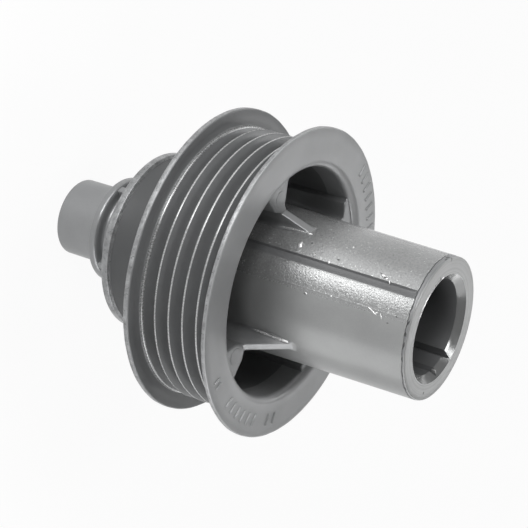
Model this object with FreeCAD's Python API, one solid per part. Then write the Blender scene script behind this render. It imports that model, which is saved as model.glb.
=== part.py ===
import FreeCAD, Part
import math
import os

# Die-cast belt pulley for a five-rib V-ribbed belt, one casting.
# It stands on the end of its journal, with +Z along the axle towards the mouth of the hub.
# The origin is the centre of the journal's end face, and +X lies midway between two gussets.

# Journal, collar and neck at the lower end
journal_d = 18.2
journal_length = 12.0
journal_edge = 0.3
journal_fillet = 2.0
collar_d = 25.1
collar_width = 2.2
collar_edge = 0.5
neck_d = 20.0
neck_length = 8.1
neck_fillet = 0.8

# Drum behind the rim
drum_lip_d = 41.9
drum_lip_width = 1.7
drum_d = 40.6
drum_step = 0.4
drum_length = 15.0
drum_fillet = 0.8

# Rim with its belt grooves
back_flange_d = 71.0
front_flange_d = 71.6
back_flange_width = 1.4
front_flange_width = 1.1
belt_grooves = 5
groove_pitch = 3.56
groove_angle = 40.0
groove_root_radius = 0.5
crest_d = 63.1
crest_width = 0.6
ledge_width = 0.85

# Open front of the rim
opening_d = 53.4
lip_radius = 1.2
opening_draft = 1.2
web_thickness = 3.9
web_fillet = 2.0

# Hub with its bore
hub_end_d = 31.9
hub_reach = 35.9
hub_draft = 0.85
hub_end_edge = 0.35
bore_d = 21.4
bore_depth = 66.0
bore_floor_fillet = 1.0
bore_chamfer = 1.5

# Ribs that tie the hub to the rim, each with a pad at the rim and a gusset that climbs the hub
rib_thickness = 1.9
rib_drop = 1.2
rib_root_fillet = 1.2
gusset_slope = 66.5
pad_foot_width = 9.8
pad_round = 1.5

# Pads in plan: distance of the narrow end, distance of the shoulders, their width, sideways shift
slim_pad = (19.5, 21.0, 3.8, 1.2)
wide_pad = (20.7, 22.2, 5.2, 0.0)
short_pad = (23.3, 24.6, 8.8, 0.0)

# Each rib: direction, pad, distance at which its gusset starts
ribs = [
    (52.0, short_pad, 20.0),
    (134.5, short_pad, 20.0),
    (221.0, slim_pad, 19.4),
    (320.5, wide_pad, 20.7),
]

# Short ribs between the collar and the drum
rear_rib_thickness = 2.0
rear_rib_margin = 0.35

# Flutes along the outside of the hub
flute_angle = 68.8
flute_width = 2.0
flute_depth = 0.35
flute_margin = 1.3

# Narrow keyways in the bore, in two opposite pairs
keyway_angle = 46.0
keyway_spread = 29.0
keyway_width = 2.4
keyway_depth = 1.45

# Levels along the axle
neck_z = journal_length + collar_width
drum_z = neck_z + neck_length
drum_step_z = drum_z + drum_lip_width
back_flange_z = drum_step_z + drum_step + drum_length
channel_z = back_flange_z + back_flange_width
channel_width = belt_grooves * groove_pitch - crest_width + 2 * ledge_width
front_flange_z = channel_z + channel_width
face_z = front_flange_z + front_flange_width
hub_end_z = face_z + hub_reach
web_top_z = back_flange_z + web_thickness
bore_floor_z = hub_end_z - bore_depth
rib_top_z = face_z - rib_drop

# How far an added or cut body runs into or past its neighbour
overlap = 1.0


def hub_radius(z):
    """Outer radius of the tapered hub at height z."""
    return hub_end_d / 2 + (hub_end_z - z) * math.tan(math.radians(hub_draft))


def opening_radius(z):
    """Radius of the tapered wall inside the rim at height z."""
    return opening_d / 2 - (face_z - z) * math.tan(math.radians(opening_draft))


def rounded_face(corners, place):
    """Flat face on an outline of corners (a, b, radius), each turned by an arc of its radius."""
    stretches = []
    count = len(corners)
    for i, (a, b, radius) in enumerate(corners):
        corner = FreeCAD.Vector(a, b, 0)
        if radius == 0:
            stretches.append((corner, None, corner))
            continue
        before = (FreeCAD.Vector(*corners[i - 1][:2], 0) - corner).normalize()
        after = (FreeCAD.Vector(*corners[(i + 1) % count][:2], 0) - corner).normalize()
        half_turn = before.getAngle(after) / 2
        reach = radius / math.tan(half_turn)
        inward = (before + after).normalize()
        crown = corner + inward * (radius / math.sin(half_turn) - radius)
        stretches.append((corner + before * reach, crown, corner + after * reach))
    edges = []
    for i, (start, crown, end) in enumerate(stretches):
        following = stretches[(i + 1) % count][0]
        if crown is not None:
            edges.append(Part.Arc(place(start), place(crown), place(end)).toShape())
        edges.append(Part.LineSegment(place(end), place(following)).toShape())
    return Part.Face(Part.Wire(edges))


def as_section(point):
    """Puts a point (radius, height) in the XZ plane."""
    return FreeCAD.Vector(point.x, 0, point.y)


def as_plan(point):
    """Puts a point (x, y) in the XY plane."""
    return FreeCAD.Vector(point.x, point.y, 0)


def rear_section():
    """Half section from the axle, round the journal, collar, neck and drum, to the channel."""
    return [
        (0, 0, 0),
        (journal_d / 2, 0, journal_edge),
        (journal_d / 2, journal_length, journal_fillet),
        (collar_d / 2, journal_length, collar_edge),
        (collar_d / 2, neck_z, collar_edge),
        (neck_d / 2, neck_z, neck_fillet),
        (neck_d / 2, drum_z, neck_fillet),
        (drum_lip_d / 2, drum_z, 0),
        (drum_lip_d / 2, drum_step_z, 0),
        (drum_d / 2, drum_step_z + drum_step, 0),
        (drum_d / 2, back_flange_z, drum_fillet),
        (back_flange_d / 2, back_flange_z, 0),
        (back_flange_d / 2, channel_z, 0),
    ]


def channel_section():
    """Belt channel: a ledge beside each flange and the row of V grooves between them."""
    crest_r = crest_d / 2
    half_mouth = (groove_pitch - crest_width) / 2
    apex_r = crest_r - half_mouth / math.tan(math.radians(groove_angle / 2))
    first = channel_z + ledge_width + half_mouth
    corners = [(crest_r, channel_z, 0)]
    for i in range(belt_grooves):
        middle = first + i * groove_pitch
        corners.append((crest_r, middle - half_mouth, 0))
        corners.append((apex_r, middle, groove_root_radius))
        corners.append((crest_r, middle + half_mouth, 0))
    corners.append((crest_r, front_flange_z, 0))
    return corners


def front_section():
    """Front flange, rounded mouth, cavity with its floor, hub and bore, back to the axle."""
    bore_r = bore_d / 2
    return [
        (front_flange_d / 2, front_flange_z, 0),
        (front_flange_d / 2, face_z, 0),
        (opening_radius(face_z), face_z, lip_radius),
        (opening_radius(web_top_z), web_top_z, web_fillet),
        (hub_radius(web_top_z), web_top_z, web_fillet),
        (hub_radius(hub_end_z), hub_end_z, hub_end_edge),
        (bore_r + bore_chamfer, hub_end_z, 0),
        (bore_r, hub_end_z - bore_chamfer, 0),
        (bore_r, bore_floor_z, bore_floor_fillet),
        (0, bore_floor_z, 0),
    ]


def turned_body():
    """The whole casting as one section turned about the axle, before its ribs and slots."""
    corners = rear_section() + channel_section() + front_section()
    axle = FreeCAD.Vector(0, 0, 1)
    return rounded_face(corners, as_section).revolve(FreeCAD.Vector(0, 0, 0), axle, 360)


def turned_to(shape, angle):
    """Copy of a shape that was made along +X, turned about the axle."""
    copy = shape.copy()
    copy.rotate(FreeCAD.Vector(0, 0, 0), FreeCAD.Vector(0, 0, 1), angle)
    return copy


def front_rib(pad, gusset_start):
    """Rib along +X in the cavity: thin at the hub, wide at the rim, its top climbing the hub."""
    pad_start, shoulder, shoulder_width, shift = pad
    half = rib_thickness / 2
    flare = half + rib_root_fillet
    hub_r = hub_radius(rib_top_z)
    inner = hub_r - rib_root_fillet
    outer = opening_radius(rib_top_z) + overlap
    sides = []
    for side in (1, -1):
        sides.append([
            (inner, side * flare, 0),
            (hub_r - rib_root_fillet / 4, side * flare, 0),
            (hub_r, side * half, rib_root_fillet),
            (pad_start, side * half, pad_round),
            (shoulder, shift + side * shoulder_width / 2, pad_round),
            (outer, shift + side * pad_foot_width / 2, 0),
        ])
    plan = rounded_face(sides[0] + sides[1][::-1], as_plan)
    floor_z = web_top_z - overlap
    tip_z = rib_top_z + (gusset_start - hub_r) * math.tan(math.radians(gusset_slope))
    column = plan.extrude(FreeCAD.Vector(0, 0, tip_z - floor_z))
    column.translate(FreeCAD.Vector(0, 0, floor_z))
    profile = [
        (0, floor_z, 0),
        (outer + overlap, floor_z, 0),
        (outer + overlap, rib_top_z, 0),
        (gusset_start, rib_top_z, 0),
        (hub_r, tip_z, 0),
        (0, tip_z, 0),
    ]
    reach = pad_foot_width
    envelope = rounded_face(profile, as_section).extrude(FreeCAD.Vector(0, 2 * reach, 0))
    envelope.translate(FreeCAD.Vector(0, -reach, 0))
    return column.common(envelope)


def rear_rib():
    """Short rib along +X that joins the collar to the back of the drum."""
    outer = collar_d / 2 - rear_rib_margin
    length = neck_length + 2 * overlap
    rib = Part.makeBox(outer, rear_rib_thickness, length)
    rib.translate(FreeCAD.Vector(0, -rear_rib_thickness / 2, neck_z - overlap))
    return rib


def flute():
    """Round bar along +X's side of the hub that cuts one shallow flute down its taper."""
    radius = (flute_width ** 2 / 4 + flute_depth ** 2) / (2 * flute_depth)
    offset = radius - flute_depth
    low_z = web_top_z + web_fillet
    high_z = hub_end_z - flute_margin
    low = FreeCAD.Vector(hub_radius(low_z) + offset, 0, low_z)
    high = FreeCAD.Vector(hub_radius(high_z) + offset, 0, high_z)
    return Part.makeCylinder(radius, low.distanceToPoint(high), low, high - low)


def keyway():
    """V-shaped cutter along +X's side of the bore, from its mouth to its floor."""
    bore_r = bore_d / 2
    run_out = keyway_width / 2 * (1 + overlap / keyway_depth)
    outline = [
        (bore_r - overlap, -run_out, 0),
        (bore_r + keyway_depth, 0, 0),
        (bore_r - overlap, run_out, 0),
    ]
    start_z = bore_floor_z + bore_floor_fillet
    cutter = rounded_face(outline, as_plan)
    cutter.translate(FreeCAD.Vector(0, 0, start_z))
    return cutter.extrude(FreeCAD.Vector(0, 0, hub_end_z + overlap - start_z))


def keyway_angles():
    """Directions of the four keyways."""
    half = keyway_spread / 2
    return [keyway_angle + side * half + turn for turn in (0, 180) for side in (-1, 1)]


def casting():
    """The finished casting as one solid."""
    added = [turned_to(front_rib(pad, start), angle) for angle, pad, start in ribs]
    added += [turned_to(rear_rib(), angle) for angle, _, _ in ribs]
    body = turned_body().fuse(added)
    cutters = [turned_to(flute(), flute_angle + turn) for turn in (0, 180)]
    cutters += [turned_to(keyway(), angle) for angle in keyway_angles()]
    return body.cut(cutters).removeSplitter()


os.makedirs("parts", exist_ok=True)
pulley = casting()
pulley.exportStep("parts/pulley.step")
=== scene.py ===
import math

import bmesh
import bpy
import numpy as np
from mathutils import Matrix, Vector


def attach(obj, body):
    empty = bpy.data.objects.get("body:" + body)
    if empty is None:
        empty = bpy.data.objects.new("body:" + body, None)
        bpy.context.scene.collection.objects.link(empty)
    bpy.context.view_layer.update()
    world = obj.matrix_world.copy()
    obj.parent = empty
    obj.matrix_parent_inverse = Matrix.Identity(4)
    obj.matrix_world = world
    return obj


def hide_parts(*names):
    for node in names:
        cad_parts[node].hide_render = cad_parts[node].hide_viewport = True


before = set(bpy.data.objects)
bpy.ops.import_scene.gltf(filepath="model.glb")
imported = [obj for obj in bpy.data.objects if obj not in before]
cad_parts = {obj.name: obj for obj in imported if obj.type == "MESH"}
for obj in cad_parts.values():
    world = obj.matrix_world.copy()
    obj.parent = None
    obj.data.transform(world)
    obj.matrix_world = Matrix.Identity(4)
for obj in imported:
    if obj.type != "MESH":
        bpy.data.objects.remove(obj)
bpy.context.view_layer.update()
print("frame loaded:", ", ".join(sorted(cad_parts)))

mm = 0.001
sharpAngle = 32.0  # edges that turn by more degrees stay crisp


def smoothStep(low, high, value):
    # 0 below low, 1 above high, and an S of second order between
    t = np.clip((value - low) / (high - low), 0.0, 1.0)
    return t * t * (3.0 - 2.0 * t)


def degreesApart(angles, centre):
    # signed turn from centre to each angle, from -180 to 180 degrees
    return (angles - centre + 180.0) % 360.0 - 180.0


def makeMesh(name, points, faces, faceZones=None):
    # points in millimetres, faces as rows of corner numbers, faceZones as one material number for each
    mesh = bpy.data.meshes.new(name)
    mesh.from_pydata((np.asarray(points) * mm).tolist(), [], faces)
    if faceZones is not None:
        mesh.polygons.foreach_set("material_index", np.asarray(faceZones, np.int32))
    mesh.polygons.foreach_set("use_smooth", np.ones(len(mesh.polygons), bool))
    mesh.update()
    mesh.set_sharp_from_angle(angle=math.radians(sharpAngle))
    piece = bpy.data.objects.new(name, mesh)
    bpy.context.scene.collection.objects.link(piece)
    return piece


def ringFaces(rows, columns):
    # quads between neighbouring rows and columns of a surface that is closed round its columns, where
    # point (i, j) has the number i times columns plus j
    i, j = np.meshgrid(np.arange(rows - 1), np.arange(columns), indexing="ij")
    right = (j + 1) % columns
    quads = [i * columns + j, i * columns + right, (i + 1) * columns + right, (i + 1) * columns + j]
    return np.stack(quads, -1).reshape(-1, 4)


def outwardFaces(piece):
    # turns every face of a closed shell outwards
    shell = bmesh.new()
    shell.from_mesh(piece.data)
    bmesh.ops.recalc_face_normals(shell, faces=shell.faces)
    shell.to_mesh(piece.data)
    shell.free()


def roundedProfile(corners):
    # A half section given by its corners (radius, height, rounding, gap, zone). Each corner is swung
    # round by an arc tangent to both sides, and the straight run after it is divided so that no
    # point is further than gap from the next. Arcs over 0.3 mm turn by 15 degrees a step, smaller ones
    # by 30. Gives radius, height and zone for each point.
    spots = np.array([c[:2] for c in corners], float)
    runs = []
    for i, (radius, height, rounding, gap, zone) in enumerate(corners):
        here = spots[i]
        if rounding == 0 or i in (0, len(corners) - 1):
            arc = here[None, :]
        else:
            back = (spots[i - 1] - here) / np.linalg.norm(spots[i - 1] - here)
            ahead = (spots[i + 1] - here) / np.linalg.norm(spots[i + 1] - here)
            half = math.acos(np.clip(back @ ahead, -1, 1)) / 2
            inward = (back + ahead) / np.linalg.norm(back + ahead)
            centre = here + inward * rounding / math.sin(half)
            first = here + back * rounding / math.tan(half) - centre
            last = here + ahead * rounding / math.tan(half) - centre
            turn = math.pi - 2 * half
            fineness = 15 if rounding > 0.3 else 30
            steps = max(2, round(math.degrees(turn) / fineness))
            t = np.linspace(0, 1, steps + 1)[:, None]
            arc = centre + (np.sin((1 - t) * turn) * first + np.sin(t * turn) * last) / math.sin(turn)
        runs.append((arc, gap, zone))
    rows, zones = [], []
    for i, (arc, gap, zone) in enumerate(runs):
        rows.append(arc)
        zones += [zone] * len(arc)
        if i + 1 < len(runs):
            start, end = arc[-1], runs[i + 1][0][0]
            steps = max(1, math.ceil(np.linalg.norm(end - start) / gap))
            t = np.arange(1, steps)[:, None] / steps
            rows.append(start + (end - start) * t)
            zones += [zone] * (steps - 1)
    rows = np.vstack(rows)
    return rows[:, 0], rows[:, 1], np.array(zones)


# the turned casting, in mm and degrees, with heights from the end of the journal
casting = {
    "columns": 300,                # steps round the axle
    "journalRadius": 9.1,
    "journalLength": 12.0,
    "journalFillet": 2.0,
    "collarRadius": 12.55,
    "neckHeight": 14.2,
    "neckRadius": 10.0,
    "neckFillet": 0.8,
    "drumHeight": 22.3,
    "lipRadius": 20.95,
    "lipWidth": 1.7,
    "drumRadius": 20.3,
    "drumStep": 0.5,               # height of the slope between lip and drum
    "drumFillet": 0.8,
    "channelHeight": 40.8,
    "backFlangeWidth": 1.4,
    "backFlangeRadius": 35.5,
    "frontFlangeRadius": 35.8,
    "channelWidth": 18.9,
    "grooves": 5,
    "groovePitch": 3.56,
    "grooveAngle": 40.0,
    "rootRounding": 0.5,
    "crestRadius": 31.55,
    "crestWidth": 0.45,
    "ledgeWidth": 0.775,
    "ledgeRounding": 0.35,         # of the rear ledge, whose last strip is as bright as a crest
    "ledgeStrip": 0.6,
    "crestRounding": 0.1,
    "mouthRadius": 26.5,
    "mouthRounding": 1.9,
    "mouthBright": 4.5,            # how far down its wall the mouth has the finish of the face
    "webHeight": 43.3,
    "webFillet": 2.0,
    "faceHeight": 60.8,
    "hubEndHeight": 96.7,
    "hubEndRadius": 15.95,
    "hubTaper": 0.85,              # degrees
    "wallTaper": 1.2,
    "hubOutside": (15.5, 17.0),    # radii between which the section is the hub's outside
    "skinRadius": 16.2,            # at which widths round the hub are measured
    "skinEnd": 95.6,               # where the cast skin stops and the turned band starts, before the slant
    "skinMiddle": 95.75,           # the slanted end: its mean, slant, lowest direction and highest point
    "skinSlant": 0.6,
    "skinLowest": 165.0,
    "skinHighest": 96.2,
    "bandTop": 96.4,               # up to here the turned band is squeezed by the slant
    "bandGroove": (0.22, 0.06),    # depth at the end of the skin, and of the band above it
    "boreRadius": 10.7,
    "boreChamfer": 1.5,
    "boreFloor": 30.7,
    "boreFillet": 1.0,
    "fluteAngles": (68.8, 248.8),
    "fluteHalfWidth": 1.15,
    "fluteFlank": 0.45,            # width of its steep side
    "fluteFloor": 0.35,            # width between the steep side and the long slope
    "fluteDepth": 0.38,
    "fluteFade": (45.5, 49.0),     # heights between which a flute runs in
    "fluteMargin": 0.22,           # width along each of its edges that keeps the finish of the hub
    # the flute's own finish is darker, painted shade
    "fluteShift": 0.15,            # how far its own finish is moved towards the steep side
    "keyAngles": (31.5, 60.5, 211.5, 240.5),
    "keyHalfWidth": 0.9,
    "keyDepth": 1.3,
    # hollow behind the ridge on the bore's edge: outside, middle and inside of it, beyond the chamfer
    "burrHollow": (0.42, 0.24, 0.06),
    "burrDepth": 0.17,
    "burrAngle": 236.0,
    "burrSpread": 27.0,            # how far the ridge runs to each side, and how soon it fades there
    "burrFade": 7.0,
    "seam": (191.6, 0.22, 0.07),   # direction, half width and rise
    "parting": (268.4, 0.12, 0.03),
    "rimsBeyond": 33.0,            # radius past which the section is a rim
    "rimWander": 0.035,            # size of the largest wave on it
    "rimInset": 0.08,              # keeps the wandering rims inside their full radius
}
zoneNames = ["rear", "journal", "edge", "flank", "crest", "face", "pocket", "rib", "hub", "flute", "turned",
             "endFace", "bevel", "bore", "drum", "burr"]
zoneOf = {name: i for i, name in enumerate(zoneNames)}


def hubRadiusAt(height):
    # the end's radius, plus the way down from the end times the tangent of the taper
    c = casting
    return c["hubEndRadius"] + (c["hubEndHeight"] - height) * math.tan(math.radians(c["hubTaper"]))


def wallRadiusAt(height):
    # the mouth's radius, less the way down from the face times the tangent of the taper
    c = casting
    return c["mouthRadius"] - (c["faceHeight"] - height) * math.tan(math.radians(c["wallTaper"]))


def castingCorners():
    # the half section from the middle of the journal's end, round the outside, to the floor of the bore:
    # for each corner its radius, height, rounding, longest gap between points, and zone
    c, z = casting, zoneOf
    channel = c["channelHeight"]
    back = channel - c["backFlangeWidth"]
    front = channel + c["channelWidth"]
    lipTop = c["drumHeight"] + c["lipWidth"]
    wallTop = c["faceHeight"] - c["mouthRounding"] - 0.1
    skinEnd, end = c["skinEnd"], c["hubEndHeight"]
    groove, band = c["bandGroove"]
    boreEdge = c["boreRadius"] + c["boreChamfer"]
    outside, hollow, inside = c["burrHollow"]
    corners = [
        (0, 0, 0, 4.0, z["journal"]),
        (c["journalRadius"], 0, 0.35, 2.6, z["journal"]),
        (c["journalRadius"], c["journalLength"], c["journalFillet"], 2.0, z["rear"]),
        (c["collarRadius"], c["journalLength"], 0.4, 2.0, z["rear"]),
        (c["collarRadius"], c["neckHeight"], 0.9, 2.0, z["rear"]),
        (c["neckRadius"], c["neckHeight"], c["neckFillet"], 3.0, z["rear"]),
        (c["neckRadius"], c["drumHeight"], c["neckFillet"], 3.4, z["rear"]),
        (c["lipRadius"], c["drumHeight"], 0.25, 2.0, z["edge"]),
        (c["lipRadius"], lipTop, 0.2, 2.0, z["edge"]),
        (c["drumRadius"], lipTop + c["drumStep"], 0.1, 3.8, z["drum"]),
        (c["drumRadius"], back, c["drumFillet"], 3.6, z["drum"]),
        (c["backFlangeRadius"], back, 0.22, 2.0, z["edge"]),
        (c["backFlangeRadius"], channel, 0.3, 2.2, z["flank"]),
        (c["crestRadius"], channel, 0.15, 2.0, z["flank"]),
        (c["crestRadius"], channel + c["ledgeWidth"] - c["ledgeStrip"], 0, 2.0, z["crest"]),
    ]
    halfMouth = (c["groovePitch"] - c["crestWidth"]) / 2
    slant = math.tan(math.radians(c["grooveAngle"] / 2))
    apex = c["crestRadius"] - halfMouth / slant
    for i in range(c["grooves"]):
        middle = channel + c["ledgeWidth"] + halfMouth + i * c["groovePitch"]
        if i == 0:
            # the rear ledge's edge is rounder than the crests', and the slope starts below its arc
            drop = c["ledgeRounding"]
            corners += [
                (c["crestRadius"], middle - halfMouth, drop, 3.0, z["crest"]),
                (c["crestRadius"] - drop, middle - halfMouth + drop * slant, 0, 3.0, z["flank"]),
            ]
        else:
            corners.append((c["crestRadius"], middle - halfMouth, c["crestRounding"], 3.0, z["flank"]))
        corners += [
            (apex, middle, c["rootRounding"], 3.0, z["flank"]),
            (c["crestRadius"], middle + halfMouth, c["crestRounding"], 3.0, z["crest"]),
        ]
    corners += [
        (c["crestRadius"], front, 0.15, 2.2, z["flank"]),
        (c["frontFlangeRadius"], front, 0.2, 2.0, z["edge"]),
        (c["frontFlangeRadius"], c["faceHeight"], 0.3, 2.0, z["face"]),
        (wallRadiusAt(c["faceHeight"]), c["faceHeight"], c["mouthRounding"], 4.0, z["face"]),
        (wallRadiusAt(wallTop), wallTop, 0, 4.0, z["face"]),
        (wallRadiusAt(wallTop - c["mouthBright"]), wallTop - c["mouthBright"], 0, 4.0, z["pocket"]),
        (wallRadiusAt(c["webHeight"]), c["webHeight"], c["webFillet"], 4.0, z["pocket"]),
        (hubRadiusAt(c["webHeight"]), c["webHeight"], c["webFillet"], 1.6, z["hub"]),
        (hubRadiusAt(skinEnd - 0.1), skinEnd - 0.1, 0, 0.3, z["turned"]),
        (hubRadiusAt(skinEnd) - groove, skinEnd, 0, 0.3, z["turned"]),
        (hubRadiusAt(skinEnd + 0.1) - band, skinEnd + 0.1, 0, 0.4, z["turned"]),
        (c["hubEndRadius"] - band, end, 0.25, 1.4, z["endFace"]),
        # the ridge on the bore's edge is whitish like the burrs, a painted highlight
        (boreEdge + outside, end, 0, 0.5, z["burr"]),
        (boreEdge + hollow, end - c["burrDepth"], 0, 0.5, z["burr"]),
        (boreEdge + inside, end, 0, 0.5, z["burr"]),
        (boreEdge, end, 0, 0.8, z["bevel"]),
        (c["boreRadius"], end - c["boreChamfer"], 0.06, 9.0, z["bore"]),
        (c["boreRadius"], c["boreFloor"], c["boreFillet"], 5.0, z["bore"]),
        (0, c["boreFloor"], 0, 5.0, z["bore"]),
    ]
    return corners


def columnAngles():
    # Even steps round the axle, and marks on the slopes of the flutes, the keyways and the parting line.
    # A step within 0.42 degrees of a mark gives way to it.
    c = casting
    angles = (np.arange(c["columns"]) + 0.5) * 360.0 / c["columns"]
    outer, inner = c["fluteHalfWidth"], c["fluteHalfWidth"] - c["fluteFlank"]
    across = np.concatenate([np.linspace(-outer, -inner, 4), np.linspace(-inner + c["fluteFloor"], outer, 7)])
    marks = [flute + np.degrees(across / c["skinRadius"]) for flute in c["fluteAngles"]]
    notch = np.array([-1, 0, 1]) * c["keyHalfWidth"] / c["boreRadius"]
    marks += [key + np.degrees(notch) for key in c["keyAngles"]]
    marks.append(c["parting"][0] + np.linspace(-0.9, 0.9, 5))
    marks = np.concatenate(marks)
    near = np.abs(degreesApart(angles[:, None], marks[None, :])).min(1) < 0.42
    return np.sort(np.concatenate([angles[~near], marks % 360]))


def skinEndAt(a):
    # height at which the cast skin of the hub stops: a slanted ring, cut level at its high side, with
    # three small waves round the hub
    c = casting
    height = c["skinMiddle"] - c["skinSlant"] * np.cos(a - math.radians(c["skinLowest"]))
    height = np.minimum(height, c["skinHighest"])
    return height + 0.05 * np.sin(23 * a) + 0.04 * np.sin(61 * a + 1.0) + 0.04 * np.sin(97 * a + 2.0)


def castingSurface():
    # Turned surface: point (i, j) = (r cos a, r sin a, z), with r and z from section point i, changed by
    # column angle a where the real skin isn't round: the two flutes, the seam and the parting line, the
    # slanted end of the cast skin on the hub, the V keyways through bore and chamfer, and a slight
    # waviness of the rims.
    c = casting
    radius, height, zone = roundedProfile(castingCorners())
    angles = columnAngles()
    columns = len(angles)
    a = np.radians(angles)[None, :]
    baseRadius, baseHeight = radius[1:-1, None], height[1:-1, None]
    r = np.repeat(baseRadius, columns, 1)
    z = np.repeat(baseHeight, columns, 1)

    # rims: the trimmed edges wander by a few hundredths
    wander = np.sin(3 * a + 0.4) + 0.6 * np.sin(7 * a + 2.0)
    wander = wander + 0.5 * np.sin(17 * a) + 0.4 * np.sin(41 * a + 1.0)
    r += (baseRadius > c["rimsBeyond"]) * (c["rimWander"] * wander - c["rimInset"])

    # hub skin: heights are stretched from its foot up, so that the skin ends on a slanted line
    foot = c["webHeight"] + c["webFillet"]
    least, most = c["hubOutside"]
    onHub = (baseRadius > least) & (baseRadius < most) & (baseHeight > foot - 0.3)
    skinEnd = skinEndAt(a)
    lower = foot + (baseHeight - foot) * (skinEnd - foot) / (c["skinEnd"] - foot)
    upper = skinEnd + (baseHeight - c["skinEnd"]) * (c["bandTop"] - skinEnd) / (c["bandTop"] - c["skinEnd"])
    z = np.where(onHub & (baseHeight <= c["skinEnd"]), lower, z)
    z = np.where(onHub & (baseHeight > c["skinEnd"]) & (baseHeight < c["bandTop"]), upper, z)
    onSkin = onHub & (z < skinEnd - 0.05)
    for flute in c["fluteAngles"]:
        gap = np.radians(degreesApart(angles, flute))[None, :] * c["skinRadius"]
        low = c["fluteFlank"] - c["fluteHalfWidth"]
        hollow = smoothStep(-c["fluteHalfWidth"], low, gap)
        hollow = hollow * (1 - smoothStep(low + c["fluteFloor"], c["fluteHalfWidth"], gap))
        fade = smoothStep(*c["fluteFade"], z) * (1 - smoothStep(skinEnd - 0.5, skinEnd - 0.1, z))
        r -= onHub * c["fluteDepth"] * hollow * fade
    for line, width, rise in (c["seam"], c["parting"]):
        gap = np.radians(degreesApart(angles, line))[None, :] * c["skinRadius"]
        r += onSkin * rise * np.exp(-(gap / width) ** 2)

    # the ridge round the bore's edge is raised on one side only, by the hollow behind it
    end = c["hubEndHeight"]
    boreEdge = c["boreRadius"] + c["boreChamfer"]
    spread = np.abs(degreesApart(angles, c["burrAngle"]))[None, :]
    raised = 1 - smoothStep(c["burrSpread"] - c["burrFade"], c["burrSpread"], spread)
    outside = boreEdge + c["burrHollow"][0]
    inHollow = (baseRadius > boreEdge) & (baseRadius < outside) & (baseHeight > c["boreFloor"])
    z = np.where(inHollow, end - (end - z) * raised, z)

    # keyways: V notches push out the wall of the bore, which starts with the end face, and its chamfer
    reach = np.zeros((1, columns))
    for key in c["keyAngles"]:
        gap = np.abs(np.radians(degreesApart(angles, key)))[None, :] * c["boreRadius"]
        reach = np.maximum(reach, c["keyDepth"] * np.clip(1 - gap / c["keyHalfWidth"], 0, 1))
    inBore = np.arange(len(baseHeight))[:, None] >= int(np.argmax(baseHeight[:, 0] >= end))
    wall = c["boreRadius"] + reach
    pushed = inBore & (baseHeight > c["boreFloor"] + c["boreFillet"]) & (r < wall)
    r = np.where(pushed, wall, r)
    z = np.where(pushed & (baseHeight > end - c["boreChamfer"] - 0.05), end - (boreEdge - wall), z)

    # each end is closed by a fan round its middle point
    points = np.stack([r * np.cos(a), r * np.sin(a), z], -1).reshape(-1, 3)
    points = np.vstack([points, [[0, 0, height[0]], [0, 0, height[-1]]]])
    rows = len(r)
    ring = np.arange(columns)
    nextOne = (ring + 1) % columns
    bottom, top, last = rows * columns, rows * columns + 1, (rows - 1) * columns
    lowFan = np.stack([np.full(columns, bottom), nextOne, ring], -1)
    highFan = np.stack([np.full(columns, top), last + ring, last + nextOne], -1)
    faces = ringFaces(rows, columns).tolist() + lowFan.tolist() + highFan.tolist()

    # zones: each row has its own, but for the flutes and the ridge
    faceZones = np.repeat(zone[1:-2][:, None], columns, 1)
    middles = angles + 0.5 * ((np.roll(angles, -1) - angles) % 360)
    for flute in c["fluteAngles"]:
        gap = np.radians(degreesApart(middles, flute)) * c["skinRadius"]
        inFlute = np.abs(gap + c["fluteShift"]) < c["fluteHalfWidth"] - c["fluteMargin"]
        faceZones = np.where((faceZones == zoneOf["hub"]) & inFlute[None, :], zoneOf["flute"], faceZones)
    plain = np.abs(degreesApart(middles, c["burrAngle"])) >= c["burrSpread"]
    faceZones = np.where((faceZones == zoneOf["burr"]) & plain[None, :], zoneOf["endFace"], faceZones)
    faceZones = np.concatenate([faceZones.ravel(), np.full(columns, zone[0]), np.full(columns, zone[-1])])
    return makeMesh("pulleyCasting", points, faces, faceZones)


# the four ribs in the mouth, each with a gusset up the hub, and the four behind the drum
ribs = {
    "thickness": 1.9,
    "topHeight": 59.6,
    "topRounding": 0.32,
    "rootFillet": (0.45, 1.3),     # at the top, and from 3 mm below it
    "wallFillet": 0.9,
    "slope": 66.5,                 # degrees, along the top of a gusset
    "draft": 0.8,                  # degrees, of the sides
    "footWidth": 9.8,
    "sectionGap": 0.28,            # between the sections that the shell runs through
    # direction, narrow end of the pad, its shoulders, their width, sideways shift, start of the gusset
    "front": [
        (52.0, 23.3, 24.6, 8.8, 0.0, 20.0),
        (134.5, 23.3, 24.6, 8.8, 0.0, 20.0),
        (221.0, 19.5, 21.0, 3.8, 1.2, 19.4),
        (320.5, 20.7, 22.2, 5.2, 0.0, 20.7),
    ],
    "rearReach": 12.2,
    "rearThickness": 2.0,
}


def turnedAbout(points, degrees):
    # points turned about the z axis: x cos a less y sin a, and x sin a plus y cos a
    cosine, sine = math.cos(math.radians(degrees)), math.sin(math.radians(degrees))
    x, y = points[..., 0], points[..., 1]
    return np.stack([x * cosine - y * sine, x * sine + y * cosine, points[..., 2]], -1)


def loopedShell(name, loops, zone):
    # closed shell through a row of closed loops: loops[i, j] is point j of loop i, and both end loops
    # are filled
    n, m, _ = loops.shape
    faces = ringFaces(n, m).tolist() + [list(range(m)), list(range((n - 1) * m, n * m))]
    shell = makeMesh(name, loops.reshape(-1, 3), faces, np.full(len(faces), zoneOf[zone]))
    outwardFaces(shell)
    return shell


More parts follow.
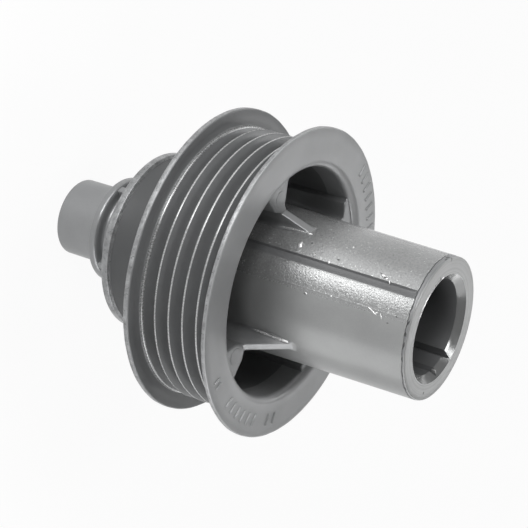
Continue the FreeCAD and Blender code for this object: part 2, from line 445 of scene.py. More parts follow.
def frontRib(index, direction, padStart, shoulder, shoulderWidth, shift, gussetStart):
    # Section loops across the rib, one for each distance x from the axle. The half widths follow the plan:
    # thin web, shoulders, foot, and a quarter-round fillet where the rib meets hub and wall. The top is
    # level on the pad and climbs to the hub along the gusset.
    r, c = ribs, casting
    half = r["thickness"] / 2
    hub = hubRadiusAt(r["topHeight"])
    wall = wallRadiusAt(r["topHeight"])
    x = np.concatenate([
        [hub - 2.2, hub - 0.6],
        hub - 0.1 + r["rootFillet"][1] * (1 - np.cos(np.linspace(0, np.pi / 2, 9))),
        np.arange(hub + r["rootFillet"][1] + 0.2, wall - r["wallFillet"] - 0.1, r["sectionGap"]),
        wall - r["wallFillet"] * (1 - np.sin(np.linspace(0, np.pi / 2, 5))),
        [wall + 1.2],
    ])
    fine = np.linspace(hub - 3, wall + 2, 400)
    kernel = np.hanning(29)
    kernel /= kernel.sum()

    def plan(side):
        # half width along x: straight from mark to mark, then smoothed over 29 samples
        marks = [0, padStart, shoulder, wall + 1]
        widths = [side * half] * 2 + [shift + side * w / 2 for w in (shoulderWidth, r["footWidth"])]
        padded = np.pad(np.interp(fine, marks, widths), 14, mode="edge")
        return np.interp(x, fine, np.convolve(padded, kernel, "valid"))

    wallSide = np.clip(1 - (wall - x) / r["wallFillet"], 0, 1)
    flare = r["wallFillet"] * (1 - np.sqrt(1 - wallSide ** 2))
    high, low = plan(1) + flare, plan(-1) - flare
    steep = math.tan(math.radians(r["slope"]))
    top = r["topHeight"] + np.minimum(np.maximum(gussetStart - x, 0), gussetStart - hub + 0.9) * steep

    # one side of a loop: sink below the floor, fillet at the floor, wall, rounded top edge
    q = np.linspace(0, np.pi / 2, 5)
    floor = c["webHeight"]
    floorUp = np.concatenate([[-1.0], 1 - np.cos(q)])
    floorOut = np.concatenate([[1.0], 1 - np.sin(q)])
    edgeIn = r["topRounding"] * (1 - np.cos(q))
    edgeDown = r["topRounding"] * (1 - np.sin(q))
    z = np.concatenate([
        np.repeat((floor + floorUp)[None, :], len(x), 0),
        floor + 1.0 + (top[:, None] - r["topRounding"] - floor - 1.0) * np.array([[0.35, 0.7]]),
        top[:, None] - edgeDown[None, :],
    ], 1)
    out = np.concatenate([
        np.repeat(floorOut[None, :], len(x), 0),
        np.zeros((len(x), 2)),
        np.repeat(-edgeIn[None, :], len(x), 0),
    ], 1) + np.maximum(r["topHeight"] - z, 0) * math.tan(math.radians(r["draft"]))
    small, wide = r["rootFillet"]
    fillet = small + (wide - small) * smoothStep(0.0, 3.0, top[:, None] - z)
    hubSide = np.clip(1 - (x[:, None] - hub + 0.1) / fillet, 0, 1)
    out = out + fillet * (1 - np.sqrt(1 - hubSide ** 2))
    away = np.repeat(x[:, None], z.shape[1], 1)
    right = np.stack([away, high[:, None] + out, z], -1)
    left = np.stack([away, low[:, None] - out, z], -1)
    t = np.array([0.25, 0.5, 0.75])[None, :, None]
    cap = right[:, -1:, :] * (1 - t) + left[:, -1:, :] * t
    loops = np.concatenate([right, cap, left[:, ::-1]], 1)
    return loopedShell(f"frontRib{index}", turnedAbout(loops, direction), "rib")


def rearRib(index, direction):
    # Section loops like the front rib's: a plain bar from the collar to the drum, its outer edges eased
    r, c = ribs, casting
    x = np.array([c["neckRadius"] - 1.5, r["rearReach"] - 0.3, r["rearReach"] - 0.1, r["rearReach"]])
    half = r["rearThickness"] / 2 - np.array([0, 0, 0.08, 0.28])
    low, high = c["neckHeight"] - 0.8, c["drumHeight"] + 0.8
    corners = np.array([(1, low), (1, high), (-1, high), (-1, low)])
    loops = np.stack([
        np.repeat(x[:, None], 4, 1),
        half[:, None] * corners[None, :, 0],
        np.repeat(corners[None, :, 1], 4, 0),
    ], -1)
    return loopedShell(f"rearRib{index}", turnedAbout(loops, direction), "rear")


# raised marks on the casting's faces
studs = {
    # plain ticks on the front face: direction, distance from the axle, length, width, lean in degrees
    "ticks": [
        (121.0, 33.0, 3.4, 0.8, 4), (126.0, 33.0, 3.4, 0.8, 4), (131.0, 33.0, 3.4, 0.8, 4),
        (136.0, 33.0, 3.4, 0.8, 4), (141.0, 33.0, 3.4, 0.8, 4), (146.0, 33.0, 3.4, 0.8, 4),
        (151.0, 33.0, 3.4, 0.8, 4),
        (332.5, 31.7, 3.1, 0.75, -12), (337.5, 31.7, 3.1, 0.75, -12), (342.5, 31.7, 3.1, 0.75, -12),
        (347.5, 31.7, 3.1, 0.75, -12), (352.5, 31.7, 3.1, 0.75, -12), (357.5, 31.7, 3.1, 0.75, -12),
        (9.0, 31.8, 2.9, 0.65, -12), (14.0, 31.8, 2.9, 0.65, -12),
        (316.6, 32.6, 2.2, 0.45, 0), (319.2, 32.6, 2.2, 0.45, 0),
    ],
    "tickRise": 0.34,
    # round marks of the ejector pins on the pads: direction, distance
    "pins": [(222.9, 23.1), (319.6, 23.9)],
    "pinWidth": 3.9,
    "pinRise": 0.07,
    # fin of metal beside the first keyway, whitish as painted highlight: direction, distance, height, length,
    # width, rise
    "fin": (33.6, 11.25, 95.45, 1.0, 0.24, 0.62),
    "sink": 0.35,                  # how far a mark reaches down into the casting
}


def stud(name, direction, distance, base, length, width, rise, lean, zone):
    # Rounded bar on a level surface. Its outline is a circle of the bar's width pulled apart to its
    # length; six outlines above each other draw in towards the top along a quarter of an ellipse.
    t = (np.arange(28) + 0.5) * 2 * np.pi / 28
    circle = np.stack([np.cos(t), np.sin(t)], -1)
    apart = np.sign(np.cos(t)) * max(length - width, 0) / 2
    q = np.radians(np.array([0, 25, 50, 75, 90]))
    up = np.concatenate([[-studs["sink"]], rise * np.sin(q)])
    inset = np.concatenate([[0.0], min(1.6 * rise, 0.35 * width) * (1 - np.cos(q))])
    flat = (width / 2 - inset)[:, None, None] * circle[None, :, :]
    flat[..., 0] += apart
    level = np.repeat((base + up)[:, None], len(t), 1)
    loops = turnedAbout(np.concatenate([flat, level[..., None]], -1), lean)
    loops[..., 0] += distance
    return loopedShell(name, turnedAbout(loops, direction), zone)


# drips and burrs of metal on the hub, and white streaks along two gusset roots that paint the highlight of
# their fillets
beads = {
    "waves": (0.14, 0.10),         # how uneven an outline is, by two and by three waves round it
    # direction, height, half length, half width, rise, lean from the axle's direction
    "hub": [
        (237.5, 66.2, 0.95, 0.55, 0.30, 70),
        (225.0, 77.3, 0.28, 0.24, 0.16, 0),
        (244.2, 74.3, 0.42, 0.28, 0.16, 30),
        (241.6, 87.0, 0.55, 0.34, 0.24, 20),
        (243.2, 88.1, 0.40, 0.24, 0.20, -30),
        (244.9, 88.9, 0.46, 0.24, 0.20, 50),
        (269.6, 87.6, 1.30, 0.15, 0.13, 24),
        (271.6, 89.9, 0.60, 0.17, 0.15, 60),
        (270.4, 88.6, 0.55, 0.14, 0.12, -35),
        # white streaks at the roots of two gussets: painted highlight of their fillets, not drips
        (226.0, 62.6, 3.60, 0.22, 0.42, -4),
        (225.2, 66.3, 1.00, 0.20, 0.30, -6),
        (315.7, 63.0, 3.30, 0.50, 0.30, 7),
        (316.4, 66.0, 2.60, 0.50, 0.40, 4),
        (241.8, 70.4, 0.30, 0.16, 0.12, 20),
        (241.0, 80.2, 0.24, 0.15, 0.10, 60),
        (272.0, 72.0, 0.30, 0.16, 0.08, 20),
        (268.5, 77.8, 0.26, 0.16, 0.08, 0),
    ],
}


def bead(name, direction, height, halfLength, halfWidth, rise, lean):
    # Flattened drop on the hub: an ellipsoid in the surface's own directions, its outline made uneven by
    # waves round it, its middle on the surface so that half of it shows.
    p = np.linspace(0.25, np.pi - 0.25, 9)[:, None]
    t = ((np.arange(20) + 0.5) * 2 * np.pi / 20)[None, :]
    two, three = beads["waves"]
    uneven = 1 + two * np.sin(2 * t + direction) + three * np.sin(3 * t + height)
    along = halfLength * np.sin(p) * np.cos(t) * uneven
    across = halfWidth * np.sin(p) * np.sin(t) * uneven
    out = rise * np.cos(p) * np.ones_like(t)
    s = math.radians(lean)
    up = along * math.cos(s) - across * math.sin(s)
    side = along * math.sin(s) + across * math.cos(s)
    middle = hubRadiusAt(height) - side ** 2 / (2 * hubRadiusAt(height))
    loops = np.stack([middle + out, side, height + up], -1)
    return loopedShell(name, turnedAbout(loops, direction), "burr")


def fuse(body, tools):
    # joins the shells into the casting, so that nothing of them is left inside it; takes about 3 GB of
    # memory
    group = bpy.data.collections.new("fused")
    for tool in tools:
        bpy.context.scene.collection.objects.unlink(tool)
        group.objects.link(tool)
    modifier = body.modifiers.new("fused", "BOOLEAN")
    modifier.operation = "UNION"
    modifier.operand_type = "COLLECTION"
    modifier.collection = group
    modifier.solver = "EXACT"
    graph = bpy.context.evaluated_depsgraph_get()
    joined = bpy.data.meshes.new_from_object(body.evaluated_get(graph))
    body.modifiers.clear()
    old = body.data
    body.data = joined
    joined.name = old.name
    bpy.data.meshes.remove(old)
    for tool in tools:
        bpy.data.meshes.remove(tool.data)
    bpy.data.collections.remove(group)
    joined.polygons.foreach_set("use_smooth", np.ones(len(joined.polygons), bool))
    joined.set_sharp_from_angle(angle=math.radians(sharpAngle))


def linear(hexColour):
    # sRGB hex to linear: a dark part is divided by 12.92, a brighter one raised to the power 2.4
    channels = [int(hexColour[i:i + 2], 16) / 255 for i in (1, 3, 5)]
    return [v / 12.92 if v <= 0.04045 else ((v + 0.055) / 1.055) ** 2.4 for v in channels] + [1.0]


def emptyTree(owner):
    # node tree of a material or world, with nothing in it
    owner.use_nodes = True
    owner.node_tree.nodes.clear()
    return owner.node_tree


def addNode(tree, kind, settings, links=()):
    # adds a node, sets its values by name or by socket number, and links (socket, source) pairs into it
    node = tree.nodes.new(kind)
    for key, value in settings.items():
        if isinstance(key, int) or key in node.inputs:
            node.inputs[key].default_value = value
        else:
            setattr(node, key, value)
    for key, source in links:
        tree.links.new(source, node.inputs[key])
    return node


# Cast aluminium. The skin that lay against the die is a dull grey with a satin gloss, and grainy where the
# die was worn; turned surfaces are brighter and show fine rings. Grain in mm, its height too; speckle is
# how much the grain changes the colour.
# Some colours also hold painted light: drum, flanks and flute are darker as painted shade, the burrs' finish
# is whitish as painted highlight, and the hub's bright specks are painted glints.
finishes = {
    "rear": {"colour": "#8a8b8c", "metal": 0.56, "rough": 0.35,
             "grain": 0.5, "grainHeight": 0.012, "speckle": 0.03},
    "journal": {"colour": "#8f9091", "metal": 0.66, "rough": 0.40,
                "grain": 0.5, "grainHeight": 0.010, "speckle": 0.03},
    "edge": {"colour": "#8e8f90", "metal": 0.62, "rough": 0.32,
             "grain": 0.45, "grainHeight": 0.10, "speckle": 0.16,
             "cloud": 0.30, "cloudSize": 2.0},
    # darker than the face: painted shade inside the grooves
    "flank": {"colour": "#7d7e7f", "metal": 0.25, "rough": 0.36,
              "grain": 0.5, "grainHeight": 0.010, "speckle": 0.03},
    "crest": {"colour": "#a8a9a9", "metal": 0.60, "rough": 0.27,
              "grain": 0.45, "grainHeight": 0.008, "speckle": 0.05,
              "cloud": 0.12, "cloudSize": 6.0},
    "face": {"colour": "#a7a8a9", "metal": 0.31, "rough": 0.38,
             "grain": 0.6, "grainHeight": 0.010, "speckle": 0.03},
    "pocket": {"colour": "#8e8f90", "metal": 0.55, "rough": 0.42,
               "grain": 0.6, "grainHeight": 0.012, "speckle": 0.03},
    "rib": {"colour": "#8e8f90", "metal": 0.60, "rough": 0.37,
            "grain": 0.6, "grainHeight": 0.010, "speckle": 0.04},
    "hub": {"colour": "#979898", "metal": 0.52, "rough": 0.20,
            "grain": 0.42, "grainHeight": 0.070, "speckle": 0.20,
            # past this x the skin is smooth: share of the grain that stays there, and added roughness
            "smoothBeyond": -0.5, "smoothShare": 0.12, "smoothRough": 0.12,
            # specks, the bright ones painted glints of the highlight and the dark ones scratch specks: size,
            # gain where bright, share that stays where dark, and lines along the hub with more of them:
            # direction, half width in degrees, how many more
            "fleckSize": 0.45, "glintGain": 0.9, "fleckDark": 0.6,
            "glintLines": [(242.5, 5.0, 0.08), (265.5, 5.0, 0.055)]},
    # darker than the hub: painted shade in the flute
    "flute": {"colour": "#676869", "metal": 0.15, "rough": 0.42,
              "grain": 0.42, "grainHeight": 0.030, "speckle": 0.06},
    "turned": {"colour": "#868788", "metal": 0.34, "rough": 0.36,
               "grain": 0.5, "grainHeight": 0.006, "speckle": 0.03,
               "rings": "height", "ringGap": 0.16, "ringHeight": 0.012, "ringTone": 0.28},
    "endFace": {"colour": "#a9aaaa", "metal": 0.45, "rough": 0.36,
                "grain": 0.5, "grainHeight": 0.004, "speckle": 0.02,
                "rings": "away", "ringGap": 0.24, "ringHeight": 0.010, "ringTone": 0.15},
    "bevel": {"colour": "#989999", "metal": 0.62, "rough": 0.20,
              "grain": 2.0, "grainHeight": 0.001, "speckle": 0.0},
    "bore": {"colour": "#6a6b6c", "metal": 0.25, "rough": 0.42,
             "grain": 0.5, "grainHeight": 0.010, "speckle": 0.02},
    # dark: painted shade of the back flange, which keeps the light off the drum
    "drum": {"colour": "#4c4d4e", "metal": 0.28, "rough": 0.50,
             "grain": 0.5, "grainHeight": 0.020, "speckle": 0.03},
    # whitish: painted highlight on the burrs, drips, fin and the ridge round the bore, which catch the light
    "burr": {"colour": "#e6e6e6", "metal": 0.60, "rough": 0.25,
             "grain": 0.5, "grainHeight": 0.010, "speckle": 0.05},
}

# what the finishes share, in mm
skinNoise = {
    "swellSize": 5.0,
    "swellHeight": 0.02,
    "cloudSize": 9.0,
    "cloud": 0.06,                 # how much the clouds change the colour
    "roughSpread": 0.06,           # how much the grain changes the roughness
    "pitShake": 0.3,               # how far the edges of the pits are shaken
    "pitDepth": 0.8,
}

# small dark pits and nicks on each finish: direction, distance from the axle, height, half length, half
# width, lean from the axle's direction, and the share of the colour that stays
pits = {
    "hub": [
        (240.0, 16.3, 76.0, 0.34, 0.26, 0, 0.25),
        (240.6, 16.1, 86.5, 0.65, 0.12, 20, 0.2),
        (242.6, 16.1, 87.6, 0.45, 0.10, -40, 0.2),
        (245.9, 16.1, 89.4, 0.70, 0.12, 35, 0.15),
        (252.0, 16.0, 93.6, 0.40, 0.22, 10, 0.3),
        (256.0, 16.0, 94.4, 0.30, 0.16, 40, 0.3),
        (268.5, 16.0, 93.2, 0.30, 0.18, 30, 0.4),
        (275.0, 16.1, 91.7, 0.30, 0.16, 0, 0.45),
        (189.4, 16.2, 84.5, 0.40, 0.35, 0, 0.3),
        (272.6, 16.4, 71.7, 0.30, 0.14, 20, 0.4),
        (233.0, 16.3, 68.4, 0.30, 0.20, 60, 0.4),
    ],
    "turned": [
        (199.0, 15.95, 95.9, 0.35, 0.9, 0, 0.15),
        (204.0, 15.95, 96.2, 0.25, 0.6, 0, 0.25),
        (258.0, 15.95, 95.85, 0.16, 0.8, 0, 0.45),
        (271.0, 15.95, 96.00, 0.20, 0.9, 20, 0.25),
        (279.0, 15.95, 96.10, 0.22, 0.6, -20, 0.30),
        (288.0, 15.95, 96.20, 0.18, 0.9, 10, 0.35),
        (299.0, 15.95, 96.25, 0.16, 0.7, 0, 0.45),
        (313.0, 15.95, 96.30, 0.16, 0.8, 0, 0.50),
        (329.0, 15.95, 96.30, 0.16, 0.6, 0, 0.45),
    ],
    "endFace": [
        (5.4, 14.2, 96.7, 0.30, 0.28, 0, 0.2),
        (216.0, 12.8, 96.7, 0.40, 0.30, 0, 0.3),
        (197.5, 15.6, 96.7, 0.50, 0.25, 0, 0.3),
    ],
}


def pitTone(tree, place, tone, direction, distance, height, halfLength, halfWidth, lean, share):
    # darkens tone inside an ellipsoid that lies in the surface: place is brought into the pit's own
    # directions and sizes, where a length under 1 is inside
    a, s = math.radians(direction), math.radians(lean)
    out = Vector((math.cos(a), math.sin(a), 0))
    side = Vector((-math.sin(a), math.cos(a), 0))
    axle = Vector((0, 0, 1))
    onEnd = height > casting["hubEndHeight"] - 0.1
    up, normal = (out, axle) if onEnd else (axle, out)
    long = up * math.cos(s) + side * math.sin(s)
    turn = Matrix((long, normal.cross(long), normal)).transposed().to_euler()
    # the shake has a mean of half its size, which the middle takes up
    shake = Vector([skinNoise["pitShake"] / 2] * 3)
    middle = (out * distance + axle * height + shake) * mm
    size = (halfLength * mm, halfWidth * mm, skinNoise["pitDepth"] * mm)
    local = addNode(tree, "ShaderNodeMapping", {
        "vector_type": "TEXTURE", "Location": middle, "Rotation": turn, "Scale": size,
    }, [("Vector", place)]).outputs[0]
    length = addNode(tree, "ShaderNodeVectorMath", {"operation": "LENGTH"}, [(0, local)]).outputs["Value"]
    dark = addNode(tree, "ShaderNodeMapRange", {
        "From Min": 0.7, "From Max": 1.1, "To Min": share, "To Max": 1.0,
    }, [("Value", length)]).outputs["Result"]
    return addNode(tree, "ShaderNodeMath", {"operation": "MULTIPLY"}, [(0, tone), (1, dark)]).outputs[0]


def glintAndFleckTone(tree, f, place, x, mask):
    # specks where mask is 1: painted glints, lighter where a fine noise peaks, and dark scratch specks where
    # it dips
    fleck = addNode(tree, "ShaderNodeTexNoise", {
        "Scale": 1000 / f["fleckSize"], "Detail": 2.0,
    }, [("Vector", place)]).outputs["Fac"]
    fleck = addNode(tree, "ShaderNodeMix", {2: 0.5}, [(0, mask), (3, fleck)]).outputs[0]
    y = addNode(tree, "ShaderNodeSeparateXYZ", {}, [(0, place)]).outputs[1]
    turn = addNode(tree, "ShaderNodeMath", {"operation": "ARCTAN2"}, [(0, y), (1, x)]).outputs[0]
    for line, width, more in f["glintLines"]:
        # the noise is raised within so many degrees of the line
        gap = addNode(tree, "ShaderNodeMath", {
            "operation": "SUBTRACT", 1: math.radians(line - 360),
        }, [(0, turn)]).outputs[0]
        gap = addNode(tree, "ShaderNodeMath", {"operation": "ABSOLUTE"}, [(0, gap)]).outputs[0]
        raised = addNode(tree, "ShaderNodeMapRange", {
            "From Max": math.radians(width), "To Min": more, "To Max": 0.0,
        }, [("Value", gap)]).outputs["Result"]
        fleck = addNode(tree, "ShaderNodeMath", {"operation": "ADD"}, [(0, fleck), (1, raised)]).outputs[0]
    bright = addNode(tree, "ShaderNodeMapRange", {
        "From Min": 0.67, "From Max": 0.74, "To Min": 1.0, "To Max": 1 + f["glintGain"],
    }, [("Value", fleck)]).outputs["Result"]
    dark = addNode(tree, "ShaderNodeMapRange", {
        "From Min": 0.27, "From Max": 0.33, "To Min": f["fleckDark"], "To Max": 1.0,
    }, [("Value", fleck)]).outputs["Result"]
    return addNode(tree, "ShaderNodeMath", {"operation": "MULTIPLY"}, [(0, bright), (1, dark)]).outputs[0]


def castMetal(finish):
    # The tone is clouds times grain, and times specks (the bright ones painted glints), rings and pits where
    # the finish has them. It scales the colour. The grain also drives the roughness, and grain, swell and
    # rings the bump.
    f, shared = finishes[finish], skinNoise
    material = bpy.data.materials.new(f"castAluminium{finish[0].upper()}{finish[1:]}")
    tree = emptyTree(material)
    place = addNode(tree, "ShaderNodeTexCoord", {}).outputs["Object"]
    noise = addNode(tree, "ShaderNodeTexNoise", {
        "Scale": 1000 / f["grain"], "Detail": 3.0, "Roughness": 0.6,
    }, [("Vector", place)])
    grain = noise.outputs["Fac"]
    swell = addNode(tree, "ShaderNodeTexNoise", {
        "Scale": 1000 / shared["swellSize"], "Detail": 2.0,
    }, [("Vector", place)]).outputs["Fac"]
    cloud = addNode(tree, "ShaderNodeTexNoise", {
        "Scale": 1000 / f.get("cloudSize", shared["cloudSize"]), "Detail": 4.0,
    }, [("Vector", place)]).outputs["Fac"]
    uneven = f.get("cloud", shared["cloud"])
    tone = addNode(tree, "ShaderNodeMapRange", {
        "From Min": 0.3, "From Max": 0.7, "To Min": 1 + uneven, "To Max": 1 - uneven,
    }, [("Value", cloud)]).outputs["Result"]
    if "smoothBeyond" in f:
        # the grain stops at the parting line
        x = addNode(tree, "ShaderNodeSeparateXYZ", {}, [(0, place)]).outputs[0]
        edge = f["smoothBeyond"] * mm
        mask = addNode(tree, "ShaderNodeMapRange", {
            "From Min": edge - 0.5 * mm, "From Max": edge + 1.5 * mm,
            "To Min": 1.0, "To Max": f["smoothShare"],
        }, [("Value", x)]).outputs["Result"]
        grain = addNode(tree, "ShaderNodeMix", {2: 0.5}, [(0, mask), (3, grain)]).outputs[0]
        # bright specks painted as glints, and dark specks, where the grain is
        flecksAndGlints = glintAndFleckTone(tree, f, place, x, mask)
        tone = addNode(tree, "ShaderNodeMath", {"operation": "MULTIPLY"}, [(0, tone), (1, flecksAndGlints)]).outputs[0]
    spots = addNode(tree, "ShaderNodeMapRange", {
        "From Min": 0.25, "From Max": 0.75, "To Min": 1 - f["speckle"], "To Max": 1 + f["speckle"],
    }, [("Value", grain)]).outputs["Result"]
    tone = addNode(tree, "ShaderNodeMath", {"operation": "MULTIPLY"}, [(0, tone), (1, spots)]).outputs[0]
    if "rings" in f:
        # tool marks: a noise along one line, the distance from the axle or the height on it
        if f["rings"] == "away":
            flat = addNode(tree, "ShaderNodeVectorMath", {
                "operation": "MULTIPLY", 1: (1, 1, 0),
            }, [(0, place)]).outputs[0]
            away = addNode(tree, "ShaderNodeVectorMath", {"operation": "LENGTH"}, [(0, flat)])
            along = away.outputs["Value"]
        else:
            along = addNode(tree, "ShaderNodeSeparateXYZ", {}, [(0, place)]).outputs[2]
        ring = addNode(tree, "ShaderNodeTexNoise", {
            "noise_dimensions": "1D", "Scale": 1000 / f["ringGap"], "Detail": 1.0,
        }, [("W", along)]).outputs["Fac"]
        lines = addNode(tree, "ShaderNodeMapRange", {
            "From Min": 0.3, "From Max": 0.7, "To Min": 1 - f["ringTone"], "To Max": 1 + f["ringTone"],
        }, [("Value", ring)]).outputs["Result"]
        tone = addNode(tree, "ShaderNodeMath", {"operation": "MULTIPLY"}, [(0, tone), (1, lines)]).outputs[0]
    if finish in pits:
        # ragged edges: the place is shaken by the grain's colour before it is measured against each pit
        shaken = addNode(tree, "ShaderNodeVectorMath", {
            "operation": "MULTIPLY_ADD", 1: [shared["pitShake"] * mm] * 3,
        }, [(0, noise.outputs["Color"]), (2, place)]).outputs[0]
        for pit in pits[finish]:
            tone = pitTone(tree, shaken, tone, *pit)
    colour = addNode(tree, "ShaderNodeVectorMath", {
        "operation": "SCALE", 0: linear(f["colour"])[:3],
    }, [("Scale", tone)]).outputs[0]
    spread = shared["roughSpread"]
    rough = addNode(tree, "ShaderNodeMapRange", {
        "From Min": 0.3, "From Max": 0.7, "To Min": f["rough"] - spread, "To Max": f["rough"] + spread,
    }, [("Value", grain)]).outputs["Result"]
    if "smoothBeyond" in f:
        extra = addNode(tree, "ShaderNodeMapRange", {
            "From Min": f["smoothShare"], "From Max": 1.0, "To Min": f["smoothRough"], "To Max": 0.0,
        }, [("Value", mask)]).outputs["Result"]
        rough = addNode(tree, "ShaderNodeMath", {"operation": "ADD"}, [(0, rough), (1, extra)]).outputs[0]
    bump = addNode(tree, "ShaderNodeBump", {
        "Strength": 1.0, "Distance": f["grainHeight"] * mm,
    }, [("Height", grain)]).outputs["Normal"]
    bump = addNode(tree, "ShaderNodeBump", {
        "Strength": 1.0, "Distance": shared["swellHeight"] * mm,
    }, [("Height", swell), ("Normal", bump)]).outputs["Normal"]
    if "rings" in f:
        bump = addNode(tree, "ShaderNodeBump", {
            "Strength": 1.0, "Distance": f["ringHeight"] * mm,
        }, [("Height", ring), ("Normal", bump)]).outputs["Normal"]
    shader = addNode(tree, "ShaderNodeBsdfPrincipled", {"Metallic": f["metal"]}, [
        ("Base Color", colour), ("Roughness", rough), ("Normal", bump),
    ])
    addNode(tree, "ShaderNodeOutputMaterial", {}, [("Surface", shader.outputs["BSDF"])])
    return material


castMetals = [castMetal(finish) for finish in zoneNames]
print("materials made")

pulley = castingSurface()
print("casting turned:", len(pulley.data.polygons), "faces")
shells = [frontRib(i, *values) for i, values in enumerate(ribs["front"])]
shells += [rearRib(i, values[0]) for i, values in enumerate(ribs["front"])]
base, rise = casting["faceHeight"], studs["tickRise"]
for i, (direction, distance, length, width, lean) in enumerate(studs["ticks"]):
    shells.append(stud(f"tick{i}", direction, distance, base, length, width, rise, lean, "face"))
base, width, rise = ribs["topHeight"], studs["pinWidth"], studs["pinRise"]
for i, (direction, distance) in enumerate(studs["pins"]):
    shells.append(stud(f"pin{i}", direction, distance, base, width, width, rise, 0, "rib"))
shells.append(stud("fin", *studs["fin"], 0, "burr"))
shells += [bead(f"bead{i}", *values) for i, values in enumerate(beads["hub"])]
for piece in [pulley] + shells:
    for metal in castMetals:
        piece.data.materials.append(metal)
fuse(pulley, shells)
print("ribs and marks fused:", len(pulley.data.polygons), "faces")
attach(pulley, "root")
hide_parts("pulley")


# paper sweep and surroundings, in mm; the glow is the share of plain white where the paper is seen
studio = {
    "sweepRadius": 2200,
    "sweepTurn": 500,
    "wallHeight": 720,
    "sweepColumns": 72,
    "levelRings": (150, 500, 1200),
    "floorGlow": 0.93,
    "floorColour": "#f6f6f6",
    "worldColour": "#767676",
    "skyLight": 0.15,
}


def seenOrMirrored(tree):
    # 1 for rays from the camera, from a mirror or through glass, and 0 for those that carry light
    path = addNode(tree, "ShaderNodeLightPath", {}).outputs
    seen = path["Is Camera Ray"]
    for other in ("Is Glossy Ray", "Is Transmission Ray"):
        either = addNode(tree, "ShaderNodeMath", {"operation": "MAXIMUM"}, [(0, seen), (1, path[other])])
        seen = either.outputs[0]
    return seen


def makeFloor():
    # Paper sweep: point (i, j) lies at distance i from the axle in direction j; level at first, then
    # turned up by a quarter circle into a low wall.
    d = studio
    turn = np.linspace(0, np.pi / 2, 13)
    sweep = d["sweepRadius"] + d["sweepTurn"] * np.sin(turn)
    rise = d["sweepTurn"] * (1 - np.cos(turn))
    away = np.concatenate([d["levelRings"], sweep, sweep[-1:]])
    height = np.concatenate([[0] * len(d["levelRings"]), rise, [d["wallHeight"]]])
    columns = d["sweepColumns"]
    a = np.linspace(0, 2 * np.pi, columns + 1)[:-1]
    level = np.repeat(height[:, None], columns, 1)
    points = np.stack([away[:, None] * np.cos(a), away[:, None] * np.sin(a), level], -1)
    faces = ringFaces(len(away), columns)[:, ::-1].tolist() + [list(range(columns))]
    floor = makeMesh("studioFloor", points.reshape(-1, 3), faces)
    material = bpy.data.materials.new("whitePaperFloor")
    tree = emptyTree(material)
    seen = seenOrMirrored(tree)
    share = addNode(tree, "ShaderNodeMath", {"operation": "MULTIPLY", 1: d["floorGlow"]}, [(0, seen)])
    paper = addNode(tree, "ShaderNodeBsdfDiffuse", {"Color": linear(d["floorColour"])})
    glow = addNode(tree, "ShaderNodeEmission", {"Color": (1, 1, 1, 1), "Strength": 1.0})
    mix = addNode(tree, "ShaderNodeMixShader", {}, [
        (0, share.outputs[0]), (1, paper.outputs[0]), (2, glow.outputs[0]),
    ])
    addNode(tree, "ShaderNodeOutputMaterial", {}, [("Surface", mix.outputs[0])])
    floor.data.materials.append(material)


# soft boxes and near strips: direction, elevation, distance from the point they face, that point's height,
# width, height, radiance
softBoxes = {
    "rightLow": (0, 12, 1500, 60, 400, 400, 6.6),
    "backRightLow": (60, 12, 1500, 60, 800, 600, 1.0),
    "leftLow": (210, 12, 1500, 60, 400, 400, 5.6),
    "frontLow": (240, 12, 1500, 60, 400, 400, 8.2),
    "frontRightLow": (330, 12, 1500, 60, 400, 400, 4.0),
    "rightMiddle": (30, 30, 1500, 60, 800, 800, 1.0),
    "backMiddle": (90, 30, 1500, 60, 400, 400, 2.1),
    "backLeftMiddle": (120, 30, 1500, 60, 400, 400, 3.4),
    "frontMiddle": (240, 30, 1500, 60, 400, 400, 2.4),
    "leftHigh": (215, 56, 1500, 60, 620, 400, 5.6),
    "backHigh": (103, 62, 1500, 60, 400, 400, 3.0),
    "leftStrip": (217.5, 0, 118, 31, 62, 58, 1.25),
    "frontStrip": (243, 0, 118, 31, 31, 58, 5.6),
    "rightStrip": (345, 0, 118, 31, 93, 58, 0.9),
}


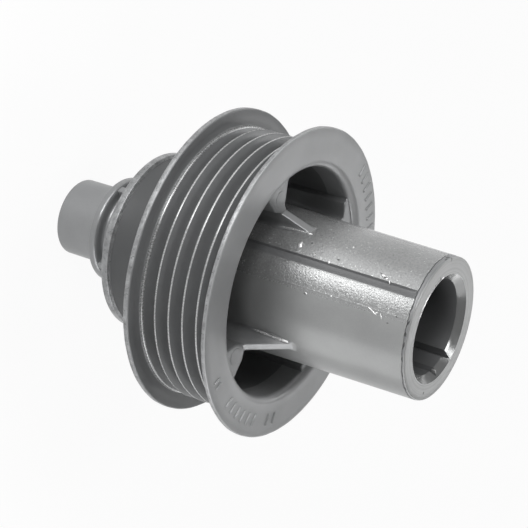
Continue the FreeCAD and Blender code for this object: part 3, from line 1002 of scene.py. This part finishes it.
def softBox(name, direction, elevation, distance, aimed, width, height, radiance):
    # A rectangular box that faces a point of the axle. Its energy is radiance times pi times its area, which
    # makes it as bright as a white floor at radiance 1.
    a, e = math.radians(direction), math.radians(elevation)
    away = Vector((math.cos(a) * math.cos(e), math.sin(a) * math.cos(e), math.sin(e)))
    lamp = bpy.data.lights.new(name, "AREA")
    lamp.shape = "RECTANGLE"
    lamp.size, lamp.size_y = width * mm, height * mm
    lamp.energy = radiance * math.pi * lamp.size * lamp.size_y
    piece = bpy.data.objects.new(name, lamp)
    piece.location = (away * distance + Vector((0, 0, aimed))) * mm
    piece.rotation_euler = (-away).to_track_quat("-Z", "Y").to_euler()
    piece.visible_camera = False
    bpy.context.scene.collection.objects.link(piece)


def makeWorld():
    # grey where it is seen or mirrored, a weak white where it lights the object
    world = bpy.data.worlds.new("studioWorld")
    bpy.context.scene.world = world
    tree = emptyTree(world)
    light = addNode(tree, "ShaderNodeBackground", {"Color": (1, 1, 1, 1), "Strength": studio["skyLight"]})
    wall = addNode(tree, "ShaderNodeBackground", {"Color": linear(studio["worldColour"]), "Strength": 1.0})
    mix = addNode(tree, "ShaderNodeMixShader", {}, [
        (0, seenOrMirrored(tree)), (1, light.outputs[0]), (2, wall.outputs[0]),
    ])
    addNode(tree, "ShaderNodeOutputWorld", {}, [("Surface", mix.outputs[0])])


# place in metres, turn in degrees and lens that put the circles of the flanges, drum, journal and hub
# where the photo has them
photoView = {
    "place": (-0.013577, -0.327907, 0.228814),
    "turn": (-28.76723, -57.16536, 121.16051),
    "lens": 112.985,
    "sensor": 36.0,
    "farthest": 20.0,
}


def makeCamera():
    camera = bpy.data.cameras.new("camera")
    camera.sensor_width = photoView["sensor"]
    camera.lens = photoView["lens"]
    camera.clip_end = photoView["farthest"]
    piece = bpy.data.objects.new("camera", camera)
    piece.location = photoView["place"]
    piece.rotation_euler = [math.radians(v) for v in photoView["turn"]]
    bpy.context.scene.collection.objects.link(piece)
    bpy.context.scene.camera = piece


makeFloor()
for name, values in softBoxes.items():
    softBox(name, *values)
makeWorld()
makeCamera()
bpy.context.scene.view_settings.view_transform = "Standard"
print("studio made")
